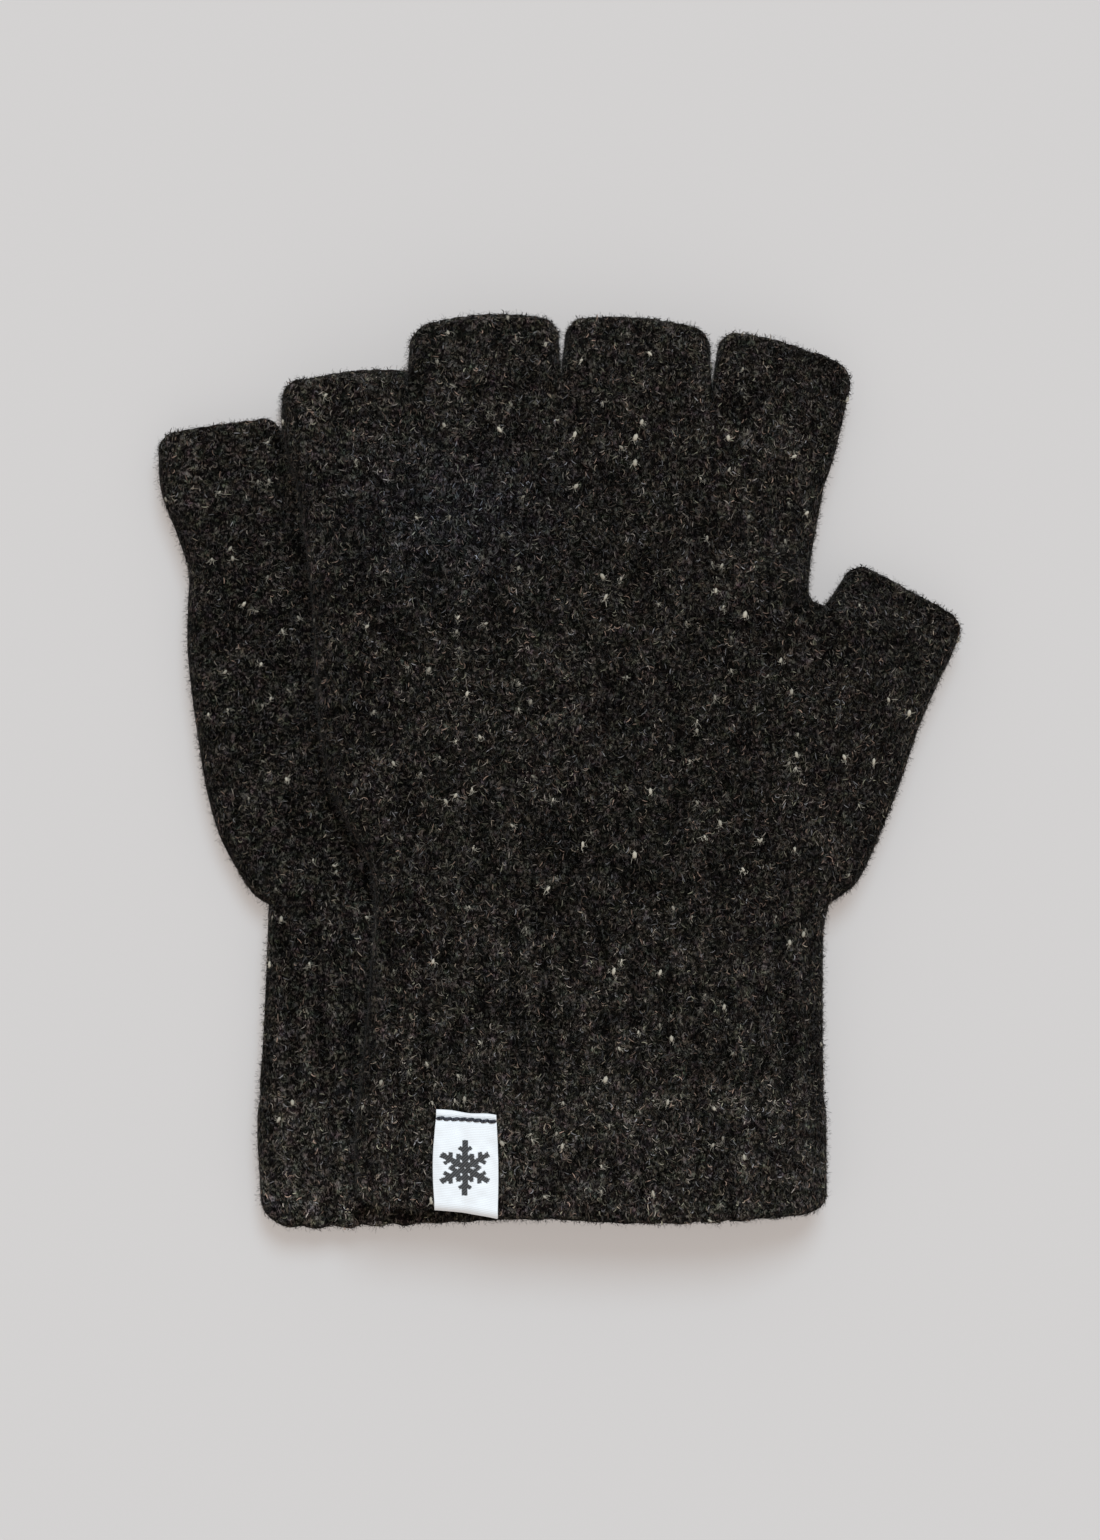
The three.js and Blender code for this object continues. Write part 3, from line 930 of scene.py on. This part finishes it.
def patch(left, right, bow, share, rows):
    """Coons patch: side blend plus end blend, less the blend of the four corners."""
    a, b = smooth_curve(left), smooth_curve(right)
    long_a, long_b = length_of(a), length_of(b)
    c = share[None, :, None]
    r = np.linspace(0, 1, rows)[:, None, None]
    end_a, end_b = a[-1], b[-1]
    across = end_b - end_a
    wide = np.linalg.norm(across)
    up = np.array([-across[1], across[0]]) / wide
    drop = corner_drop(np.minimum(share, 1 - share) * wide, CORNER)
    along_a, along_b = end_a - walk(a, 1 - LAST / long_a), end_b - walk(b, 1 - LAST / long_b)
    axis = ((1 - c) * along_a / np.linalg.norm(along_a)
            + c * along_b / np.linalg.norm(along_b))
    mouth = (end_a + c * across + up * (4 * bow * share * (1 - share))[None, :, None]
             - axis * (MOUTH_BACK + drop)[None, :, None])
    side_a = walk(a, r[:, 0, 0] * (1 - (CORNER + MOUTH_BACK) / long_a))[:, None]
    side_b = walk(b, r[:, 0, 0] * (1 - (CORNER + MOUTH_BACK) / long_b))[:, None]
    root = a[0] + c * (b[0] - a[0])
    corners = ((1 - r) * root + r * ((1 - c) * mouth[:, :1] + c * mouth[:, -1:]))
    grid = (1 - c) * side_a + c * side_b + (1 - r) * root + r * mouth - corners
    return grid[..., 0], grid[..., 1]


# %% [markdown]
# ### Bound-off edge
# The last row of a tube is bound off: each loop is drawn over the next, which leaves a
# chain round the mouth. A torus would be too smooth. The chain is a circle carried round
# the mouth, which swells and leans a little at every stitch.

# %% Bound-off edge
BEAD = 0.95                # radius of the bound-off edge
STITCH = 3.1               # length of one of its stitches
EDGE_NAP = 4.4             # fibres for each square millimetre of it


def bound_edge(which, part, grid, normal, seed):
    """A bead round the mouth: radius times 1 + 0.16 (|sin| - 0.5), turned by 0.5 sin."""
    ahead = grid[-1] - grid[-3]
    ahead /= np.linalg.norm(ahead, axis=-1, keepdims=True)
    n = normal[-1]
    centre = grid[-1] - n * (WALL / 2) + ahead * 0.35
    run = np.r_[0, np.cumsum(np.linalg.norm(np.diff(centre, axis=0), axis=1))]
    swell = 1 + 0.16 * (np.abs(np.sin(np.pi * run / STITCH)) - 0.5)
    a = np.linspace(0, TURN, 12, endpoint=False)[:, None, None]
    lean = 0.5 * np.sin(TURN * run / STITCH)[None, :, None]
    ring = centre + (n * np.cos(a + lean) * 1.02 + ahead * np.sin(a + lean) * 1.05) * (
        BEAD * swell)[None, :, None]
    # Its wool is the finish with the painted highlight, WOOL["edge"].
    knit(which, part + "_edge", part, "edge", *shell(ring), ending="chain")
    out = (ring - centre) / np.linalg.norm(ring - centre, axis=-1, keepdims=True)
    fuzz(which, part + "_edge", part, "edge", ring, out, seed, per_mm2=EDGE_NAP, neps=0.0)


# %% Finger and thumb tubes
SET_BACK = dict(little_finger=0.5, ring_finger=1.3, middle_finger=0.8, index_finger=0.3,
                thumb=0.3)
FINGER_ROWS, THUMB_ROWS = 34, 16


def make_tube(which, part, figure, share, seed):
    """A finger or the thumb, with its bound-off edge and its fibres."""
    x, y = patch(figure["left"], figure["right"], figure["bow"], share,
                 THUMB_ROWS if part == "thumb" else FINGER_ROWS)
    grid = tube_grid(x, y, which, GLOVES[which], SET_BACK[part])
    wall, normal = thick_wall(grid, WALL)
    knit(which, part, part, "finger", *shell(wall))
    skin = wall[:len(grid) + 2]
    fuzz(which, part, part, "finger", skin, normals_of(skin), seed)
    bound_edge(which, part, grid, normal, seed + 500)


# %% [markdown]
# ### Cuff and hem
# The rib is the same flattened tube with shallow columns. The hem is a double layer, the
# knitting turned up inside, so it stands a little proud of the rib, and both its ends are
# rounded. Its edge is scalloped by the ribs, and pinched where the label goes round it.
# The rib starts inside the hem, and the hem sinks softly into it at its top, as they are
# one piece of knitting.

# %% Rib
def make_rib(which, seed):
    y = np.linspace(HEM_TOP - 6, WRIST, 47)[:, None] + 0 * HAND_COLUMNS
    tuck = 0.3 * (1 - ease((y[:, :1] - 23) / 5))
    left = side_at(CUFF_LEFT, y[:, :1]) + tuck
    right = side_at(CUFF_RIGHT, y[:, :1]) - tuck
    x = left + HAND_COLUMNS * (right - left)
    grid = tube_grid(x, y, which, GLOVES[which])
    normal = normals_of(grid)
    wall = np.concatenate([grid, (grid - normal * WALL)[::-1]])
    knit(which, "cuff_rib", "cuff_rib", "rib", *shell(wall))
    fuzz(which, "cuff_rib", "cuff_rib", "rib", grid, normal, seed)


# %% Hem
HEM_WALL = WALL + 0.7      # two layers, felted together
HEM_CORNER = 2.6           # rounding of the hem's two bottom corners


def hem_bottom(which, x):
    """The hem's edge: its own slope, scalloped by the ribs."""
    points = smooth_curve(GLOVES[which]["hem_edge"])
    slope = np.interp(x, points[:, 0], points[:, 1])
    scallop = 0.62 * (1 - np.abs(np.cos(np.pi * x / RIB_PITCH)))
    scallop = scallop * (0.7 + 0.4 * lumps(x, x * 0, 13.0, 3))
    squeezed = ease((x - LABEL_LEFT) / 1.2 + 1) * ease((LABEL_RIGHT - x) / 1.2 + 1)
    return slope - 0.1 + scallop + (0.7 * squeezed if which == "upper" else 0)


def proud(x, y):
    """How far the hem stands off the rib's line, fading towards its top."""
    return 0.30 + 0.10 * lumps(x, y, 5, 11) - 1.2 * ease((y - 20.5) / 8)


def make_hem(which, seed):
    left, right = CUFF_LEFT[0][0], CUFF_RIGHT[0][0]
    r = np.linspace(0, 1, 36)[:, None]
    x = left + HAND_COLUMNS * (right - left) + 0 * r
    from_side = np.minimum(HAND_COLUMNS, 1 - HAND_COLUMNS) * (right - left)
    bottom = hem_bottom(which, x) + corner_drop(from_side, HEM_CORNER) + HEM_WALL / 2
    y = bottom + (HEM_TOP + 0.4 - bottom) * r
    a, b = side_at(CUFF_LEFT, y), side_at(CUFF_RIGHT, y)
    grid = tube_grid(a + HAND_COLUMNS * (b - a), y, which, GLOVES[which])
    grid = grid + normals_of(grid) * proud(grid[..., 0], grid[..., 1])[..., None]
    wall, _ = thick_wall(grid, HEM_WALL, turn_rows=5, turn_start=True)
    knit(which, "cuff_hem", "cuff_hem", "hem", *shell(wall))
    skin = np.concatenate([wall[-4:], grid])
    fuzz(which, "cuff_hem", "cuff_hem", "hem", skin, normals_of(skin), seed)


# %% [markdown]
# ### The hand
# The hand's front and back walls meet at the little finger's side, at the thumb's side and
# at the index side. Between the last two the thumb's root stays open. Its rows stand where
# the thumb's columns begin, and its columns where the fingers' columns begin, so the
# tubes carry on from it without a gap.

# %% Outline of the hand
def hand_outline(glove):
    """The x and y of its points, and which rows are open to the thumb."""
    end_x, end_y = on_thumb(THUMB_WIDTH, 0)
    y = np.r_[np.linspace(WRIST, end_y, 50)[:-1],
              end_y + (CROTCH[1] - end_y) * THUMB_COLUMNS,
              np.linspace(CROTCH[1], KNUCKLE, 28)[1:]]
    side = smooth_curve(THUMB_SIDE)
    right = np.where(y <= end_y, np.interp(y, side[:, 1], side[:, 0]),
                     np.interp(y, [end_y, CROTCH[1]], [end_x, CROTCH[0]]))
    right = np.where(y > CROTCH[1], side_at(INDEX_SIDE, y), right)
    left = side_at(glove["little_side"], y)
    x = left[:, None] + HAND_COLUMNS * (right - left)[:, None]
    return x, y[:, None] + 0 * x, (y > end_y + 1e-6) & (y < CROTCH[1] - 1e-6)


print("rows of the hand", len(hand_outline(GLOVES["upper"])[0]))

# %% Hand
HALF = 47                  # the nap is cut at this row, to keep each mesh small


def make_hand(which, seed):
    glove = GLOVES[which]
    x, y, open_rows = hand_outline(glove)
    front = cloth_height(x, y, which, glove, True)
    back = cloth_height(x, y, which, glove, False)
    for column, rows in ((0, np.ones(len(y), bool)), (-1, ~open_rows)):
        middle = (front[rows, column] + back[rows, column]) / 2
        front[rows, column] = back[rows, column] = middle
    number = np.arange(x.size).reshape(x.shape)
    below = number + x.size
    below[:, 0] = number[:, 0]
    below[~open_rows, -1] = number[~open_rows, -1]
    quads = np.concatenate([sheet_quads(number), sheet_quads(below)[:, ::-1]])
    points = np.concatenate([np.stack([x, y, z], -1).reshape(-1, 3) for z in (front, back)])
    used, quads = np.unique(quads, return_inverse=True)
    piece = knit(which, "hand", "hand", "hand", points[used], quads.reshape(-1, 4))
    solid = piece.modifiers.new("wall", "SOLIDIFY")
    solid.thickness, solid.offset = WALL * MM, -1
    loop = tube_grid(x, y, which, glove)
    normal = normals_of(loop)
    wide = x.shape[1]
    for label, across in (("front", np.arange(wide)),
                          ("back", np.r_[wide - 1:loop.shape[1], 0])):
        for end, rows in (("low", slice(0, HALF + 1)), ("high", slice(HALF, None))):
            fuzz(which, f"hand_{label}_{end}", "hand", "hand", loop[rows][:, across],
                 normal[rows][:, across], seed, closed=False)
            seed += 1


# %% Both gloves
for which, glove in GLOVES.items():
    base = glove["seed"] * 100
    make_hem(which, base + 1)
    make_rib(which, base + 2)
    make_hand(which, base + 3)
    for k, (part, figure) in enumerate(FINGERS.items()):
        if part == "little_finger":
            figure = dict(figure, left=figure["left"][:-1] + [glove["little_end"][0]],
                          right=figure["right"][:-1] + [glove["little_end"][1]])
        make_tube(which, part, figure, finger_columns[part], base + 20 + k)
    make_tube(which, "thumb", THUMB, THUMB_COLUMNS, base + 30)

# %% [markdown]
# ## The label
# A woven ribbon is folded over the hem's edge, one leaf outside and one inside, and caught
# by one row of stitches near the top. Weaving draws a shape in whole threads, so the
# snowflake is worked out on the grid of threads and kept in the mesh. An image would be
# quicker, but this stays sharp at any distance.

# %% Label sizes
PICK = 0.17                # one woven thread
TWILL = 0.62               # pitch of the slanting lines in the dark weave
STITCH_LINE = 20.75        # height of the row of stitches at its left end
STITCH_FALL = 0.75         # how much lower it is at its right end
FLAKE = (-25.5, 10.8, 5.5)  # centre of the snowflake and its radius
ARM, BRANCH = 0.56, 0.42   # half widths of its arms and branches
LABEL_BACK_TOP = 20.0      # height of the inner leaf's end
LABEL_THICK = 0.32
LABEL_CLEAR = 0.34         # from the hem's outside to the middle of the ribbon


def hem_face(x, y):
    """Height of the hem's outside, in the upper glove's own millimetres."""
    return cloth_height(x, y, "upper", GLOVES["upper"], True) + proud(x, y)


def snowflake(x, y):
    """1 on six arms with two pairs of side branches each, 0 elsewhere."""
    across = np.round((x - FLAKE[0]) / PICK) * PICK
    up = np.round((y - FLAKE[1]) / PICK) * PICK
    mask = np.zeros_like(x)
    for k in range(6):
        c, s = np.cos(np.pi / 2 + k * np.pi / 3), np.sin(np.pi / 2 + k * np.pi / 3)
        a, b = across * c + up * s, np.abs(up * c - across * s)
        mask = np.maximum(mask, (a > 0) & (a < FLAKE[2]) & (b < ARM))
        for start, reach in ((1.6, 1.95), (3.3, 1.5)):
            out = (a - start) * 0.5 + b * 0.866
            off = np.abs((a - start) * 0.866 - b * 0.5)
            mask = np.maximum(mask, (out > 0) & (out < reach) & (off < BRANCH))
    return mask.astype(float)


print("threads across the label", round((LABEL_RIGHT - LABEL_LEFT) / PICK))


# %% Label finish
def label_finish():
    """White satin with faint rows of weft, and a dark twill where the snowflake is."""
    p = Paint("label_satin", Roughness=0.55, Sheen_Weight=0.15, Specular_IOR_Level=0.3)
    mask, place = p.attribute("flake", "Fac"), p.attribute("cloth", "Vector")
    x, y = p.axes(place)
    weft = p.wave(y * (TURN / (2 * PICK)))
    twill = p.wave((x * 1.1 + y) * (TURN / TWILL))
    cloudy = p.noise(place, 2.5, detail=2)
    white = p.mix(cloudy, (0.93, 0.92, 0.92, 1), (0.98, 0.97, 0.97, 1))
    white = p.mix((weft * 0.5 + 0.5) * 0.10, white, (0.80, 0.79, 0.81, 1))
    dark = p.mix(twill.between(-0.3, 0.9), (0.030, 0.029, 0.030, 1),
                 (0.095, 0.09, 0.088, 1))
    p.wire("Base Color", p.mix(mask, white, dark))
    p.bump(0.35, 0.0001, weft * 0.5 + twill * mask * 0.5)
    return p.material


# %% [markdown]
# ### Label cloth and stitches
# The ribbon is one grid: down the front leaf, round the hem's edge in a half circle and up
# inside. It follows the hem's own height, bulges a little in the middle, and is pinched
# along the stitches. The stitches are short strands, so each is a circle carried along a
# low arc that leans a little.

# %% Label cloth
def label_leaves():
    """The x, y and z of the ribbon's middle, and the number of rows of its front leaf."""
    share = np.linspace(0, 1, 76)[None, :]
    edge = 2.35 - 1.75 * share**1.5
    radius = HEM_WALL / 2 + 0.3
    r = np.linspace(0, 1, 150)[:, None]
    top = LABEL_TOP - 1.15 * share + 0.12 * np.sin(9 * share)
    y_front = top + (edge + radius - top) * r
    bulge = np.sin(np.pi * np.clip((y_front - 2) / 19, 0, 1))
    left = LABEL_LEFT - 0.55 * bulge - 0.25 * (1 - y_front / 22)
    right = LABEL_RIGHT + 0.25 * bulge + 0.35 * (1 - y_front / 22)
    x_front = left + (right - left) * share
    pinch = np.exp(-((y_front - (STITCH_LINE - STITCH_FALL * share)) / 0.55)**2)
    z_front = hem_face(x_front, y_front) + LABEL_CLEAR + 0.10 * bulge - 0.30 * pinch
    z_front = z_front + 0.12 * np.sin(5 * share + 1.0) * bulge
    a = np.linspace(0, np.pi, 14)[1:-1, None]
    y_fold = edge + radius - radius * np.sin(a)
    z_fold = z_front[-1:] - radius + radius * np.cos(a)
    up = np.linspace(0, 1, 40)[:, None]
    y_back = (edge + radius) + (LABEL_BACK_TOP - edge - radius) * up
    z_back = hem_face(x_front[-1:] + 0 * y_back, y_back) - 2 * radius + LABEL_CLEAR
    x = np.concatenate([x_front, x_front[-1:] + 0 * a, x_front[-1:] + 0 * y_back])
    return (x, np.concatenate([y_front, y_fold, y_back]),
            np.concatenate([z_front, z_fold, z_back]), len(r))


def make_label():
    """Front leaf down, a half circle round the hem's edge, back leaf up inside."""
    x, y, z, front_rows = label_leaves()
    points = np.stack([x, y, z], -1)
    rows = np.arange(len(x))[:, None]
    quads = sheet_quads(np.arange(x.size).reshape(x.shape))[:, [0, 3, 2, 1]]
    length = np.r_[0, np.cumsum(np.linalg.norm(np.diff(points, axis=0), axis=-1).mean(1))]
    woven = np.stack([x, length[:, None] + 0 * x, z], -1)
    piece = new_mesh("hem_label_ribbon", lay(points.reshape(-1, 3), GLOVES["upper"]), quads,
                     label_finish(), True,
                     {"flake": ("FLOAT", np.where(rows < front_rows, snowflake(x, y), 0.0)),
                      "cloth": ("FLOAT_VECTOR", woven)})
    solid = piece.modifiers.new("ribbon", "SOLIDIFY")
    solid.thickness, solid.offset = LABEL_THICK * MM, 0
    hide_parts("hem_label")
    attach(piece, "upper_cuff")
    print("label", round(float(length[-1]), 1), "mm long")
    return piece


# %% Thread finish
def thread_finish():
    p = Paint("label_thread", Roughness=0.75, Specular_IOR_Level=0.15)
    place = p.node("TexCoord", {}, {}, output="Object")
    ply = p.noise(p.stretched(place, 0.5, 0.3), 0.0003, detail=2)
    p.wire("Base Color", p.mix(ply.between(0.35, 0.65), (0.018, 0.018, 0.024, 1),
                               (0.075, 0.075, 0.09, 1)))
    return p.material


# %% Stitching
STITCHES = 8
THREAD = 0.34              # radius of a stitch
STATIONS, ROUND = 9, 8     # circles along a stitch, and points on each


def make_stitching():
    """Short leaning stitches: a circle carried along a low arc, thinner at both ends."""
    s = np.linspace(0, 1, STATIONS)[:, None]
    turn = np.linspace(0, TURN, ROUND, endpoint=False)[None, :]
    row = LABEL_RIGHT - LABEL_LEFT - 0.1
    thick = THREAD * (1 - np.abs(2 * s - 1)**4 * 0.8)
    points = []
    for k in range(STITCHES):
        t = (k + 0.5) / STITCHES
        x = LABEL_LEFT + 0.05 + t * row + (s - 0.5) * (row / STITCHES * 1.22)
        y = STITCH_LINE - STITCH_FALL * t + 0.07 * np.sin(5.1 * k)
        y = y + (s - 0.5) * (0.22 + 0.12 * np.sin(3.3 * k))
        z = hem_face(x, y) + 0.30 + 0.30 * np.sin(np.pi * s)**0.7
        points.append(np.stack([x + 0 * turn, y + thick * np.cos(turn),
                                z + thick * 0.8 * np.sin(turn)], -1).reshape(-1, 3))
    cap = np.array([[0, 1, 2, 7], [7, 2, 3, 6], [6, 3, 4, 5]])
    face = np.concatenate([ring_quads(ROUND, STATIONS), cap[:, ::-1],
                           cap + ROUND * (STATIONS - 1)])
    face = outward(points[0], face)
    quads = np.concatenate([face + len(points[0]) * k for k in range(STITCHES)])
    piece = new_mesh("label_stitch_row", lay(np.concatenate(points), GLOVES["upper"]), quads,
                     thread_finish())
    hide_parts("label_stitching")
    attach(piece, "upper_cuff")
    print("stitches", STITCHES)
    return piece


label = make_label()
stitching = make_stitching()

# %% [markdown]
# ## Floor, light and camera
# A pale, even floor. Most of the light comes from all round. A soft lamp beyond the
# fingertips adds a gentle shadow below the cuff, which is warm because the lamp is a little
# blue. The camera looks straight down from a distance, so that the gloves keep their
# proportions.

# %% Floor
floor_paint = Paint("floor_paper", Roughness=0.9, Specular_IOR_Level=0.0,
                    Base_Color=(0.35, 0.35, 0.35, 1), Emission_Color=(1.10, 0.98, 0.91, 1),
                    Emission_Strength=0.30)
floor = new_mesh("floor", np.array([(-2, -2, 0), (2, -2, 0), (2, 2, 0), (-2, 2, 0)], float),
                 [[0, 1, 2, 3]], floor_paint.material, False)

# %% Light
world = bpy.data.worlds.new("studio")
bpy.context.scene.world = world
world.use_nodes = True
sky = world.node_tree.nodes["Background"].inputs
sky["Color"].default_value, sky["Strength"].default_value = (1.03, 0.99, 0.96, 1), 0.55

lamp = bpy.data.lights.new("window", "SUN")
lamp.energy, lamp.angle, lamp.color = 1.75, np.radians(28), (0.83, 1.035, 1.19)
lamp_object = bpy.data.objects.new("window", lamp)
lamp_object.rotation_euler = (-np.radians(36), np.radians(9), 0)
bpy.context.scene.collection.objects.link(lamp_object)

# %% Camera
TOP_Z, CAMERA_ABOVE = 0.0135, 0.8556

camera = bpy.data.cameras.new("camera")
camera.lens, camera.sensor_fit, camera.sensor_height = 100, "VERTICAL", 36
camera_object = bpy.data.objects.new("camera", camera)
camera_object.location = (-0.0014, -0.0004, TOP_Z + CAMERA_ABOVE)
bpy.context.scene.collection.objects.link(camera_object)
bpy.context.scene.camera = camera_object
bpy.context.scene.view_settings.view_transform = "Standard"
print("camera", CAMERA_ABOVE, "m above the cloth")
